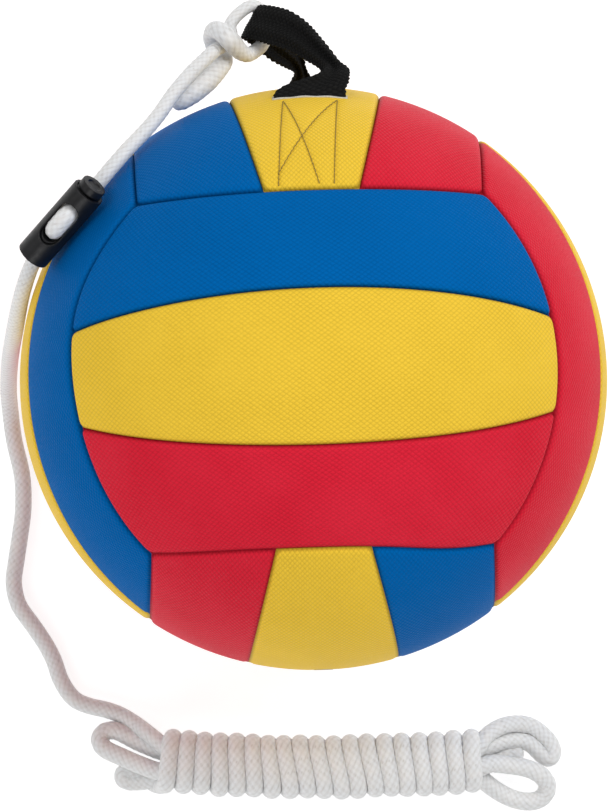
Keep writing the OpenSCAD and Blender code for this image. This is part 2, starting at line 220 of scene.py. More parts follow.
def rope_mesh(name, path, tip_start=False, tip_end=False, pull=((0, 1), (1, 1))):
    """A braided rope along a path, with heat-sealed round tips where asked.

    pull gives its width along the path as a share of the full width, as pairs of share of length and width.
    """
    path = even(path, ROPE_SPACING)
    _, side, up = frames_along(path)
    along = np.arange(len(path)) * ROPE_SPACING
    around = np.arange(ROPE_SEGMENTS) / ROPE_SEGMENTS
    height = braid_height(around[None, :], along[:, None])
    radius = ROPE_R - BRAID_RELIEF * (1 - height)
    taper = np.interp(along / along[-1], *np.transpose(pull))
    tip = 1.6 * MM
    for wanted, distance in ((tip_start, along), (tip_end, along[-1] - along)):
        if wanted:
            x = np.clip(distance / tip, 0, 1)
            taper *= np.sqrt(np.clip(1 - (1 - x) ** 2, 0.05, 1))
    radius = radius * taper[:, None]
    angle = 2 * np.pi * around
    ring = np.cos(angle)[None, :, None] * side[:, None] + np.sin(angle)[None, :, None] * up[:, None]
    points = path[:, None] + radius[..., None] * ring
    uv = np.stack(np.broadcast_arrays(around[None, :], along[:, None] / BRAID_PITCH), -1)
    rows, columns = radius.shape
    faces = quads(rows, columns, wrap=True)
    faces.append(list(range(columns))[::-1])
    faces.append(list(range((rows - 1) * columns, rows * columns)))
    # Depth of the braid's grooves, which the material uses to paint shade into them.
    groove = {"groove": 1 - height.ravel()}
    return build(name, points.reshape(-1, 3), faces, uv.reshape(-1, 2), "braid", groove)


# The route's points, in millimetres; they follow the CAD model's within 1.1 mm
KNOT_ROUTE = [
    [-31.7, 118.5, 115.5], [-28.6, 120.6, 111.4], [-26, 123, 108.8], [-25.1, 125.4, 107.8],
    [-25.6, 128.3, 107], [-23.4, 131.6, 106], [-19.4, 134.9, 104.6], [-16.8, 135.7, 103.4],
    [-14.5, 134.6, 103], [-12.8, 132, 103], [-12.2, 128.5, 103.2], [-12.7, 124.9, 103.6],
    [-14.2, 121.3, 104.2], [-16.9, 119, 105.8], [-19.6, 117.5, 108.5], [-22.3, 118.4, 112.5],
    [-24.7, 120.9, 116], [-26.8, 123, 117.8], [-29, 125.4, 116.5], [-31.2, 126.4, 112.5],
    [-32.3, 124.4, 107.5], [-31.2, 121.4, 103.2], [-28.9, 118.9, 102.7], [-28.1, 116.1, 106],
    [-29.8, 113, 110], [-33.2, 109.3, 114], [-36.8, 106, 117], [-40.8, 102.9, 119], [-47.1, 98.6, 121],
]
RUN_ROUTE = [
    [-31.7, 118.5, 115.5], [-35.4, 114.9, 118], [-39.1, 111.4, 120.5], [-43.3, 106.6, 124],
    [-47.4, 101.4, 127.5], [-51.8, 95, 131], [-57, 88.8, 134.5], [-63.4, 82.2, 138.2],
    [-69.2, 75.7, 140.6], [-74.8, 69.4, 141.5], [-83.6, 60.1, 138.3],
    [-90, 53.7, 133.8], [-95, 48.5, 130], [-99, 43, 125], [-103, 34, 113],
    [-106.5, 24, 88], [-110, 14.5, 52], [-112, 5, 20], [-112, -4, 5], [-111, -14, 3.2],
    [-108.5, -27, 3.2], [-108.5, -39, 3.2], [-110, -49, 3.2], [-112, -60, 3.2], [-113, -67, 3.2],
    [-111.5, -75, 3.2], [-107, -82, 3.2], [-102.5, -89, 3.2], [-99, -96, 3.2], [-96.5, -104, 3.2],
    [-92, -111, 3.2], [-86, -114, 3.2], [-80, -115.5, 3.2], [-74, -118, 3.6], [-68, -122, 6.5],
    [-63, -126, 11.5],
]
# The hank: four strands laid to and fro, joined by these end loops, then wrapped from left to right
RIGHT_TOP_LOOP = [
    [61.8, -130.1, 12], [67.5, -126.9, 9], [73.5, -126, 6], [78.6, -126.9, 4], [83.1, -130.1, 3.2],
    [86.5, -134.4, 3.2], [87.2, -137.8, 3.2], [85.4, -140.2, 3.2], [82, -137.6, 3.2],
    [78.6, -133.8, 3.4], [74, -132.3, 4], [68.3, -132.6, 5.6], [62.7, -134.2, 8],
]
LEFT_TOP_LOOP = [
    [-60.3, -131.6, 8.5], [-64, -129.9, 7.5], [-68.1, -128.1, 6.5], [-72.3, -125.7, 5.8],
    [-76, -123.6, 5.5], [-79.5, -123.2, 5.5], [-82.3, -124.9, 6], [-82.8, -127.6, 6.8],
    [-81, -130.1, 7.6], [-77.8, -131.8, 8.6], [-74.2, -133.5, 9.8], [-70.3, -135.4, 11],
    [-65.2, -137.6, 12.5], [-60.6, -139.2, 14],
]
RIGHT_LOW_LOOP = [
    [62.7, -140.5, 12.5], [67.7, -141.1, 11], [72.8, -141.9, 10.2], [77.7, -143.2, 9.4],
    [81.9, -145.6, 7.6], [84.3, -148.9, 5.6], [83.9, -152.2, 4.2], [81.7, -154.6, 3.4],
    [77.6, -155.5, 3.2], [73, -154.8, 3.2], [68.5, -152.9, 3.4], [64.3, -150.2, 4.6], [60.6, -147.2, 6.4],
]
LEFT_LOW_LOOP = [
    [-60.7, -142, 7], [-65.4, -142.5, 4.6], [-69.7, -142.8, 3.4], [-73.4, -142.6, 3.2],
    [-75, -141.2, 3.2], [-74.2, -139, 3.2], [-70.6, -139.2, 3.4], [-66, -141.5, 3.4], [-61.5, -144.5, 4.2],
]
FREE_END = [[66, -138.5, 3.2], [71, -137.6, 3.2], [76, -137.4, 3.2]]
# How tight the rope is drawn, as pairs of share of length and share of its full width
ROPE_PULL = [(0, 0.82), (0.04, 0.86), (0.07, 1), (0.25, 1), (0.28, 1.09), (1, 1.09)]
KNOT_PULL = [
    (0, 0.8), (0.1, 0.74), (0.3, 0.72), (0.42, 0.85), (0.52, 1.18), (0.6, 1), (0.72, 1),
    (0.8, 1.12), (0.86, 1.3), (0.93, 1.3), (0.97, 1.15), (1, 0.7),
]
STRAND_GAP = 3.1
WRAP_REACH = 5.7
WRAPS = 19
# How far the wraps lean over to the side, as pairs of x in millimetres and slope
WRAP_LEAN = [(-55, 0.11), (-10, -0.22), (20, -0.22), (60, -0.05)]
FIRST_WRAP, WRAP_PITCH = -56.9, 6.26
HANK_Z = 12.1


def hank_axis(x):
    """The hank's middle line: turned a little, and sagging in the middle."""
    return -137.2 - 0.033 * x - 2.3 * (1 - (x / 61) ** 2)


def strand(from_x, to_x, side_y, side_z):
    """One straight strand inside the wraps; side_y and side_z say which of the four it is."""
    found = []
    for x in np.linspace(from_x, to_x, 9):
        found.append([x, hank_axis(x) + side_y * STRAND_GAP, HANK_Z + side_z * STRAND_GAP])
    return found


def wraps():
    """Turns side by side round the strands; they cross the top almost square and step on underneath."""
    start, top = -0.6, np.pi / 2
    end = top + 2 * np.pi * (WRAPS - 1) + 1.1 * np.pi
    wobble = random.uniform(-1, 1, (WRAPS + 3, 3))
    found = []
    for turn in np.arange(start, end, 2 * np.pi / 28):
        x = FIRST_WRAP + WRAP_PITCH * (turn - top + 0.8 * np.cos(turn)) / (2 * np.pi)
        which = (turn - start) / (2 * np.pi)
        low = int(which)
        mix = 0.5 - 0.5 * np.cos(np.pi * (which - low))
        w = (1 - mix) * wobble[low] + mix * wobble[low + 1]
        size = WRAP_REACH + 0.12 * w[0]
        y = -(STRAND_GAP * np.tanh(2.2 * np.cos(turn)) + size * np.cos(turn))
        z = STRAND_GAP * np.tanh(2.2 * np.sin(turn)) + size * np.sin(turn)
        lean = np.interp(x, *np.transpose(WRAP_LEAN)) + 0.03 * w[1]
        found.append([x + lean * y, hank_axis(x) + y + 0.35 * w[2], HANK_Z + z])
    return found


def rope_path():
    """The free rope, in metres: from the knot past the lock, down to the floor and through the hank."""
    hank = (
        strand(-54, 56, 1, 1) + RIGHT_TOP_LOOP + strand(56, -54, 1, -1) + LEFT_TOP_LOOP
        + strand(-54, 56, -1, 1) + RIGHT_LOW_LOOP + strand(55, -54, -1, -1) + LEFT_LOW_LOOP
    )
    path = smooth_route(RUN_ROUTE + hank, 12)
    path = np.concatenate([path, smooth_route([hank[-1]] + wraps()[2:] + FREE_END, 3)[1:]])
    path = relax(even(path, 0.6), 12)
    path[:, 2] = np.maximum(path[:, 2], ROPE_R / MM)
    return path * MM


def make_rope():
    """The rope from the knot to its free end."""
    path = rope_path()
    rope = rope_mesh("rope", path, tip_end=True, pull=ROPE_PULL)
    hank = ("hank_wraps", "hank_core", "hank_loops_left", "hank_loops_right")
    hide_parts("rope_upper_run", "rope_lower_run", *hank)
    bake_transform(rope)
    return rope, path


def make_knot():
    """The noose round the webbing, the half hitch and the short tail."""
    path = relax(even(smooth_route(KNOT_ROUTE), 0.4), 10) * MM
    knot = rope_mesh("rope_tie", path, tip_end=True, pull=KNOT_PULL)
    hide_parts("rope_knot")
    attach(knot, "strap")
    return knot


rope, rope_line = make_rope()
knot = make_knot()

# ---- Cord lock -----------------------------------------------------------------------------------


def lock_matrix():
    """The lock's own frame: X towards the plunger's head, Z out of the window."""
    low, high = (Vector(c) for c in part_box("lock_barrel"))
    joint = next(j for j in frame["joints"] if j["name"] == "lock_slide")
    x = Vector(joint["axis"]).normalized()
    y = Vector((0, 0, 1)).cross(x).normalized()
    z = x.cross(y)
    middle = (low + high) / 2 - x * BARREL_MIDDLE
    return Matrix.Translation(middle) @ Matrix((x, y, z)).transposed().to_4x4()


# The lock's sizes; its own X starts at the middle of its window
BARREL_D = 12 * MM
BARREL_X0, BARREL_X1 = -18 * MM, 14.8 * MM
BARREL_MIDDLE = (BARREL_X0 + BARREL_X1) / 2
BORE_X0 = BARREL_X0 + 1.5 * MM
BORE_D = 9.6 * MM
WINDOW_L, WINDOW_W = 18 * MM, 7.5 * MM
PLUNGER_D = 9.2 * MM
HEAD_L = 3.4 * MM
DIMPLE_D, DIMPLE_DEPTH = 5.2 * MM, 0.5 * MM
STEM_X0 = -10 * MM
SLOT_X0, SLOT_L, SLOT_W = -8.15 * MM, 20.3 * MM, 7.2 * MM
SPRING_WIRE_D = 0.7 * MM
SPRING_R = 3.45 * MM
SPRING_COILS = 4
SPRING_END_GAP = 0.45 * MM


def rod(name, x0, x1, diameter, segments=96):
    """A plain rod along X, used to build and to cut."""
    mesh = bpy.data.meshes.new(name)
    bm = bmesh.new()
    spin = Matrix.Translation(((x0 + x1) / 2, 0, 0)) @ Matrix.Rotation(math.pi / 2, 4, "Y")
    radius = diameter / 2
    bmesh.ops.create_cone(
        bm, cap_ends=True, segments=segments, radius1=radius, radius2=radius, depth=x1 - x0, matrix=spin
    )
    bm.to_mesh(mesh)
    bm.free()
    obj = bpy.data.objects.new(name, mesh)
    bpy.context.collection.objects.link(obj)
    return obj


def slot_cutter(name, x0, length, width):
    """A block with round ends that cuts a window right across the lock."""
    mesh = bpy.data.meshes.new(name)
    bm = bmesh.new()
    outline = []
    radius = width / 2
    for centre, start in ((x0 + length - radius, -90), (x0 + radius, 90)):
        for step in range(25):
            angle = math.radians(start + step * 180 / 24)
            outline.append((centre + radius * math.cos(angle), radius * math.sin(angle)))
    lower = [bm.verts.new((x, y, -BARREL_D)) for x, y in outline]
    face = bm.faces.new(lower)
    made = bmesh.ops.extrude_face_region(bm, geom=[face])["geom"]
    upper = [v for v in made if isinstance(v, bmesh.types.BMVert)]
    bmesh.ops.translate(bm, verts=upper, vec=(0, 0, 2 * BARREL_D))
    bmesh.ops.recalc_face_normals(bm, faces=bm.faces)
    bm.to_mesh(mesh)
    bm.free()
    obj = bpy.data.objects.new(name, mesh)
    bpy.context.collection.objects.link(obj)
    return obj


def applied(obj):
    """Turns an object's modifiers into its mesh."""
    graph = bpy.context.evaluated_depsgraph_get()
    mesh = bpy.data.meshes.new_from_object(obj.evaluated_get(graph))
    obj.modifiers.clear()
    obj.data = mesh
    return obj


def combine(obj, others, operation):
    """Joins other solids to a solid or cuts them out of it, and uses them up."""
    for other in others:
        tool = obj.modifiers.new(operation, "BOOLEAN")
        tool.operation = operation
        tool.solver = "EXACT"
        tool.object = other
        applied(obj)
        bpy.data.objects.remove(other)
    return obj


def moulded(obj, voxel=0.22 * MM, rounds=6):
    """Gives a cut block the small round edges of a moulding."""
    grid = obj.modifiers.new("grid", "REMESH")
    grid.mode = "VOXEL"
    grid.voxel_size = voxel
    soften = obj.modifiers.new("soften", "SMOOTH")
    soften.factor = 0.5
    soften.iterations = rounds
    applied(obj)
    obj.data.shade_smooth()
    return obj


def make_lock():
    """The barrel and the plunger, with the bight and the spring that they hold."""
    place = lock_matrix()
    barrel = rod("lock_barrel_shell", BARREL_X0, BARREL_X1, BARREL_D)
    cutters = [
        rod("bore", BORE_X0, BARREL_X1 + 2 * MM, BORE_D),
        slot_cutter("window", -WINDOW_L / 2, WINDOW_L, WINDOW_W),
    ]
    moulded(combine(barrel, cutters, "DIFFERENCE"))
    plunger = rod("lock_plunger_head", STEM_X0, BARREL_X1 - 0.6 * MM, PLUNGER_D)
    parts = [
        rod("neck", BARREL_X1 - 1 * MM, BARREL_X1 + 1 * MM, PLUNGER_D - 1.6 * MM),
        rod("head", BARREL_X1 + 0.4 * MM, BARREL_X1 + HEAD_L, PLUNGER_D + 0.2 * MM),
    ]
    combine(plunger, parts, "UNION")
    cuts = [
        slot_cutter("slot", SLOT_X0, SLOT_L, SLOT_W),
        rod("dimple", BARREL_X1 + HEAD_L - DIMPLE_DEPTH, BARREL_X1 + HEAD_L + 2 * MM, DIMPLE_D),
    ]
    moulded(combine(plunger, cuts, "DIFFERENCE"), 0.2 * MM, 8)
    for piece, node, body in ((barrel, "lock_barrel", "cord_lock"), (plunger, "lock_plunger", "plunger")):
        piece.data.transform(place)
        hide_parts(node)
        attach(piece, body)
    return barrel, plunger, make_bight(place), make_spring(place)


def make_spring(place):
    """The coiled wire behind the plunger."""
    angle = np.linspace(0, 2 * math.pi * SPRING_COILS, 24 * SPRING_COILS + 1)
    x = np.linspace(BORE_X0 + SPRING_END_GAP, STEM_X0 - SPRING_END_GAP, len(angle))
    helix = np.stack([x, SPRING_R * np.cos(angle), SPRING_R * np.sin(angle)], -1)
    turn = np.array(place.to_3x3())
    helix = helix @ turn.T + np.array(place.translation)
    spring = tubes_mesh("lock_spring_wire", [helix], SPRING_WIRE_D / 2)
    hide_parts("lock_spring")
    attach(spring, "cord_lock")
    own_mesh(spring)
    return spring


def make_bight(place):
    """The loop of rope that is poked through the window from behind."""
    half, middle, top, back, bend = 5.25, 0.65, 3.6, -5.9, 3.4
    corner = np.linspace(0, math.pi / 2, 9)
    rise = [[middle - half + bend * (1 - math.cos(a)), 0, top - bend * (1 - math.sin(a))] for a in corner]
    fall = [[2 * middle - x, 0, z] for x, _, z in rise[::-1]]
    path = even([[middle - half, 0, back]] + rise + fall + [[middle + half, 0, back]], 0.4) * MM
    turn = np.array(place.to_3x3())
    path = path @ turn.T + np.array(place.translation)
    bight = rope_mesh("rope_bight_loop", path, pull=((0, 0.95), (0.4, 1.08), (0.6, 1.08), (1, 0.95)))
    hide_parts("rope_bight")
    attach(bight, "cord_lock")
    return bight


barrel, plunger, bight, spring = make_lock()

# ---- Ball panels ---------------------------------------------------------------------------------

SEAM_LEAN = math.tan(math.radians(4.15))
SEAM_OFFSET = 0.535
STRIP_SLOPE = math.tan(math.radians(15))
CENTRE_STRIP_ANGLE = math.radians(30)
SIDE_STRIP_ANGLE = math.radians(20.5)
STRIP_LENGTH_ANGLE = math.radians(107)
EDGE_ROLL = 2.4 * MM
EDGE_DROP = 1.8 * MM
CROWN_RISE = 0.5 * MM
BASE_FLAT = 1.6 * MM
CORNER_R = 2.6 * MM
# Dents in the cover: along the stitches, along the slits with a raised lip beside it, and round the valve
STITCH_DENT, STITCH_DENT_W = 0.4 * MM, 1.0 * MM
SLIT_DENT, SLIT_DENT_W = 0.9 * MM, 1.3 * MM
SLIT_LIP, SLIT_LIP_W = 0.5 * MM, 3.5 * MM
VALVE_DENT, VALVE_DENT_R, VALVE_DENT_EDGE = 1.3 * MM, 3.9 * MM, 0.25 * MM


def edge_steps(length, spacing):
    """Places along a length: close together near both ends, where the edge rolls over."""
    near = np.array([0, 0.08, 0.2, 0.4, 0.65, 1.0, 1.45, 2.0, 2.8]) * MM
    middle = np.linspace(near[-1], length - near[-1], max(3, int((length - 2 * near[-1]) / spacing)))
    return np.concatenate([near[:-1], middle, (length - near[:-1])[::-1]]) / length


def strip_grid(side, spacing):
    """One strip of the face that looks along +Z: unit points, distances to sides and ends, and flat lay."""
    if side == 0:
        slope_low, slope_high, off_low, off_high = -STRIP_SLOPE, STRIP_SLOPE, 0, 0
    else:
        slope_low, slope_high, off_low, off_high = STRIP_SLOPE, SEAM_LEAN, 0, SEAM_OFFSET
    width = (CENTRE_STRIP_ANGLE if side == 0 else SIDE_STRIP_ANGLE) * BALL_R
    b = edge_steps(width, spacing)
    # Turn even steps of angle across the strip into a family of cutting planes.
    slope = slope_low + (slope_high - slope_low) * b
    offset = off_low + (off_high - off_low) * b

    def height(t, m, d):
        s = 1 + t**2 + m**2
        return (-d * m + np.sqrt(d**2 * m**2 - s * (d**2 - 1))) / s

    # Halve the span again and again to find where each plane meets the face's end seam.
    low, high = np.zeros_like(b), np.full_like(b, 4.0)
    for _ in range(50):
        t = (low + high) / 2
        inside = height(t, slope, offset) * (1 - SEAM_LEAN * t) > SEAM_OFFSET
        low, high = np.where(inside, t, low), np.where(inside, high, t)
    reach = np.arctan(low)
    a = 2 * edge_steps(STRIP_LENGTH_ANGLE * BALL_R, spacing) - 1
    t = np.tan(a[:, None] * reach[None, :])
    z = height(t, slope[None, :], offset[None, :])
    unit = np.stack([z * t, offset[None, :] + slope[None, :] * z, z], -1)
    if side < 0:
        unit[..., 1] *= -1
    across = np.arcsin(np.clip(unit[..., 1], -1, 1))
    span = (across.max(axis=1) - across.min(axis=1))[:, None] * BALL_R
    to_side = np.minimum(b, 1 - b)[None, :] * span
    to_end = (1 - np.abs(a))[:, None] * reach[None, :] * BALL_R * np.cos(across)
    middle = across[len(a) // 2, len(b) // 2]
    lengthwise = BALL_R * a[:, None] * reach[None, :] * math.cos(middle)
    lay = np.stack([lengthwise, BALL_R * (across - middle)], -1)
    return unit, to_side, to_end, lay


def rounded_distance(one, other, radius):
    """Distance to the nearest of two edges, rounded off where they meet in a corner."""
    dx, dy = np.maximum(radius - one, 0), np.maximum(radius - other, 0)
    return np.clip(radius - np.hypot(dx, dy), 0, None)


def turn_to(face):
    """The matrix that takes the face that looks along +Z to another face; some of them mirror it."""
    cycle = np.array([[0, 1, 0], [0, 0, 1], [1, 0, 0]], dtype=float)
    return {
        "front": np.eye(3),
        "back": np.diag([1, 1, -1]),
        "crown": cycle,
        "base": np.diag([1, -1, 1]) @ cycle,
        "right": cycle.T,
        "left": np.diag([-1, 1, 1]) @ cycle.T,
    }[face]


def stitch_lines():
    """Two sides and a cross of stitches: pairs of ends, as distance across and angle from the crown."""
    half = 9.6 * MM
    slant = 3.2 * MM
    left, right = STRAP_X - half, STRAP_X + half
    near, far = SLIT_ANGLE + math.radians(2.2), TAIL_ANGLE + math.radians(3.6)
    return [
        ((left, near), (left - slant, far)),
        ((right, near), (right - slant, far)),
        ((left, near), (right - 2.6 * slant, far)),
        ((right, near), (left - slant, far - math.radians(3))),
    ]


def on_ball(across, angle, radius):
    """A point at a distance across and an angle from the crown; a negative angle is behind it."""
    flat = math.sqrt(radius**2 - across**2)
    return np.array([across, flat * math.cos(angle), flat * math.sin(angle)])


def near_line(unit, a, b, width):
    """How close unit points are to a line over the ball: 1 on it, fading to 0."""
    p = unit * BALL_R
    d = b - a
    t = np.clip(((p - a) @ d) / d.dot(d), 0, 1)
    away = np.linalg.norm(p - (a + t[..., None] * d), axis=-1)
    return np.exp(-((away / width) ** 2))


def panel_relief(face, side, unit):
    """Small dents and rises of the middle crown and base panels."""
    rise = np.zeros(unit.shape[:-1])
    if side != 0:
        return rise
    if face == "crown":
        for sign in (1, -1):
            for (x0, a0), (x1, a1) in stitch_lines():
                steps = np.linspace(0, 1, 9)
                spots = [on_ball(x0 + (x1 - x0) * s, sign * (a0 + (a1 - a0) * s), BALL_R) for s in steps]
                for p, q in zip(spots, spots[1:]):
                    rise = np.minimum(rise, -STITCH_DENT * near_line(unit, p, q, STITCH_DENT_W))
            ends = [on_ball(STRAP_X + k * STRAP_W / 2, sign * SLIT_ANGLE, BALL_R) for k in (-1, 1)]
            rise -= SLIT_DENT * near_line(unit, *ends, SLIT_DENT_W)
            rise += SLIT_LIP * near_line(unit, *ends, SLIT_LIP_W)
    if face == "base":
        away = np.linalg.norm(unit - np.array([0, -1.0, 0]), axis=-1) * BALL_R
        rise -= VALVE_DENT / (1 + np.exp((away - VALVE_DENT_R) / VALVE_DENT_EDGE))
    return rise


# Where the sewn cover is drawn off its regular lay: middle, reach, and the pull in radians
SEAM_PULLS = [
    ((-0.80, 0.26, 0.55), 0.27, (-0.026, 0, -0.034)),
    ((0.42, -0.57, 0.70), 0.22, (0, -0.014, -0.010)),
    ((-0.63, 0.63, 0.45), 0.16, (-0.008, 0.006, 0)),
    ((-0.55, -0.60, 0.58), 0.30, (0, -0.014, -0.010)),
    ((0.55, -0.58, 0.60), 0.30, (0.004, -0.016, -0.014)),
]


def drawn(unit):
    """Unit points after the cover's small unevenness; every panel moves alike, so the seams stay closed."""
    moved = unit.copy()
    for middle, reach, pull in SEAM_PULLS:
        away = np.linalg.norm(unit - np.array(middle), axis=-1)
        moved += np.exp(-((away / reach) ** 2))[..., None] * np.array(pull)
    return moved / np.linalg.norm(moved, axis=-1)[..., None]


FACE_STRIPS = {
    "front": {1: "upper", 0: "centre", -1: "lower"},
    "back": {1: "upper", 0: "centre", -1: "lower"},
    "crown": {1: "right", 0: "centre", -1: "left"},
    "base": {1: "right", 0: "centre", -1: "left"},
    "left": {1: "front", 0: "centre", -1: "back"},
    "right": {1: "front", 0: "centre", -1: "back"},
}


def make_panel(face, side):
    """One foam-backed panel: rolled edges, a slight crown and a flat underside on the foam."""
    label = f"{face}_{FACE_STRIPS[face][side]}"
    fine = side == 0 and face in ("crown", "base")
    unit, to_side, to_end, lay = strip_grid(side, (0.8 if fine else 1.5) * MM)
    turn = turn_to(face)
    world = drawn(unit @ turn.T)
    edge = rounded_distance(to_side, to_end, CORNER_R)
    roll = np.clip(1 - edge / EDGE_ROLL, 0, 1)
    drop = EDGE_DROP * (1 - np.sqrt(np.clip(1 - roll**2.2, 0, 1)))
    crown = CROWN_RISE * (1 - np.exp(-edge / (7 * MM)))
    settled = BASE_FLAT * np.clip(-world[..., 1], 0, 1) ** 2
    top = BALL_R - settled - drop + crown - 0.15 * MM + panel_relief(face, side, world)
    top = np.maximum(top, FOAM_R + 0.12 * MM)
    under = np.full_like(top, FOAM_R + 0.04 * MM)
    points = np.concatenate([world * top[..., None], world * under[..., None]]).reshape(-1, 3) + CENTRE
    rows, columns = top.shape
    count = rows * columns
    mirrored = (np.linalg.det(turn) < 0) != (side < 0)
    faces = quads(rows, columns, flip=not mirrored)
    faces += quads(rows, columns, start=count, flip=mirrored)
    rim = list(range(columns)) + [i * columns + columns - 1 for i in range(1, rows)]
    rim += [(rows - 1) * columns + j for j in range(columns - 2, -1, -1)]
    rim += [i * columns for i in range(rows - 2, 0, -1)]
    for p, q in zip(rim, rim[1:] + rim[:1]):
        wall = [p, q, q + count, p + count]
        faces.append(wall if mirrored else wall[::-1])
    uv = np.concatenate([lay, lay]).reshape(-1, 2)
    # How near each point is to the panel's edge; the material paints shade along the seams with it.
    low = np.clip(1 - edge / (1.2 * MM), 0, 1).ravel()
    piece = build(f"cover_{label}", points, faces, uv, "strip", {"seam": np.concatenate([low, low])})
    node = f"panel_{label}"
    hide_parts(node)
    slot = next(s["material_slot"] for s in frame["record"]["subparts"] if s["node"] == node)
    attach(piece, "ball")
    return piece, slot


panels = [make_panel(face, side) for face in FACE_STRIPS for side in (1, 0, -1)]

# ---- Stitches ------------------------------------------------------------------------------------

STITCH_R = 0.14 * MM
STITCH_PITCH = 2.7 * MM
STITCH_SINK = 0.4 * MM


def surface_line(start, end, sign, radius, count):
    """Points on a line over the ball, between two pairs of distance across and angle from the crown."""
    steps = np.linspace(0, 1, count)
    x = start[0] + (end[0] - start[0]) * steps
    angle = start[1] + (end[1] - start[1]) * steps
    return np.array([on_ball(p, sign * q, radius) for p, q in zip(x, angle)]) + CENTRE


def thread_points(line, pitch, radius, sink):
    """A row of short stitches along a line, each one a small hump of thread."""
    total = length_of(line)
    count = max(1, round(total / pitch))
    found = []
    for k in range(count):
        s = np.linspace((k + 0.06) / count, (k + 0.94) / count, 9)
        along = np.linspace(0, 1, len(line))
        p = np.stack([np.interp(s, along, line[:, c]) for c in range(3)], -1)
        out = (p - CENTRE) / np.linalg.norm(p - CENTRE, axis=1)[:, None]
        hump = np.sin(np.linspace(0, np.pi, 9))[:, None]
        found.append(p + out * (hump * (radius + 0.25 * MM) - sink))
    return found


def make_stitches():
    """The visible thread of the stitched box in front of the crown and of the one behind it."""
    made = []
    for sign, label in ((1, "front"), (-1, "back")):
        paths = []
        for start, end in stitch_lines():
            line = surface_line(start, end, sign, BALL_R + 0.1 * MM, 60)
            paths += thread_points(line, STITCH_PITCH, STITCH_R, STITCH_SINK)
        piece = tubes_mesh(f"box_stitches_{label}", paths, STITCH_R)
        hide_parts(f"strap_stitches_{label}")
        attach(piece, "ball")
        made.append(piece)
    return made


stitches = make_stitches()

# ---- Webbing loop --------------------------------------------------------------------------------

# The webbing's route outside the ball: x, y, z and width in millimetres, and its width's turn in degrees
STRAP_ROUTE = [
    [1.5, 95.5, 139.8, 25.4, 0],
    [1.5, 98.3, 140.8, 25.4, 0],
    [1.8, 100.8, 140, 25.2, 2],
    [4, 103.2, 138.6, 23, 2],
    [7.6, 105.9, 136.8, 16.5, 4],
    [10.2, 108, 134.4, 11, 8],
    [9.1, 110.8, 130.6, 7.5, 16],
    [4.1, 116.5, 125, 9.4, 41],
    [-1.8, 122.4, 119.8, 12.2, 51],
    [-7.9, 126.2, 115.2, 14.2, 57],
    [-13.1, 128.4, 111.2, 13.8, 61],
    [-16.7, 129.5, 107.6, 13.2, 61],
    [-18.1, 129.8, 103.5, 13, 60],
    [-16.8, 129.2, 99.8, 13, 60],
    [-12.9, 125.6, 96.8, 12, 60],
    [-7.7, 120.8, 93.4, 10.4, 52],
    [-3, 117.2, 89.6, 8, 42],
    [-0.7, 114.1, 85.5, 4.6, 22],
    [-0.2, 110.9, 80.5, 8, 8],
    [1.5, 107.3, 76, 15, 4],
    [1.5, 103, 71.5, 22, 2],
    [1.5, 98.3, 69.2, 25.4, 0],
    [1.5, 95.5, 70.2, 25.4, 0],
]
WEAVE_PITCH = 1.7 * MM
WEAVE_RELIEF = 0.5 * MM
# The edge of the webbing steps in and out a little with each weft thread.
SCALLOP = 0.24 * MM
# How deep the gathered webbing folds into pleats, as a share of the square root of the full width squared
# less the gathered width squared
FOLD_DEPTH = 0.035
# How far from the loop's tip the rope pulls the webbing flat
FLAT_TIP_REACH = 9 * MM
SLIT_HALF_GAP = 1.3 * MM
SLIT_EDGE_R = 0.4 * MM


def weave_height(along, across):
    """Height from 0 to 1 of a ribbed weave whose ribs cross the webbing in a staggered row."""
    row = along / WEAVE_PITCH
    column = across / (1.9 * MM)
    shifted = row + 0.5 * (np.floor(column) % 2)
    return np.abs(np.sin(np.pi * shifted)) * (0.45 + 0.55 * np.abs(np.sin(np.pi * column)))


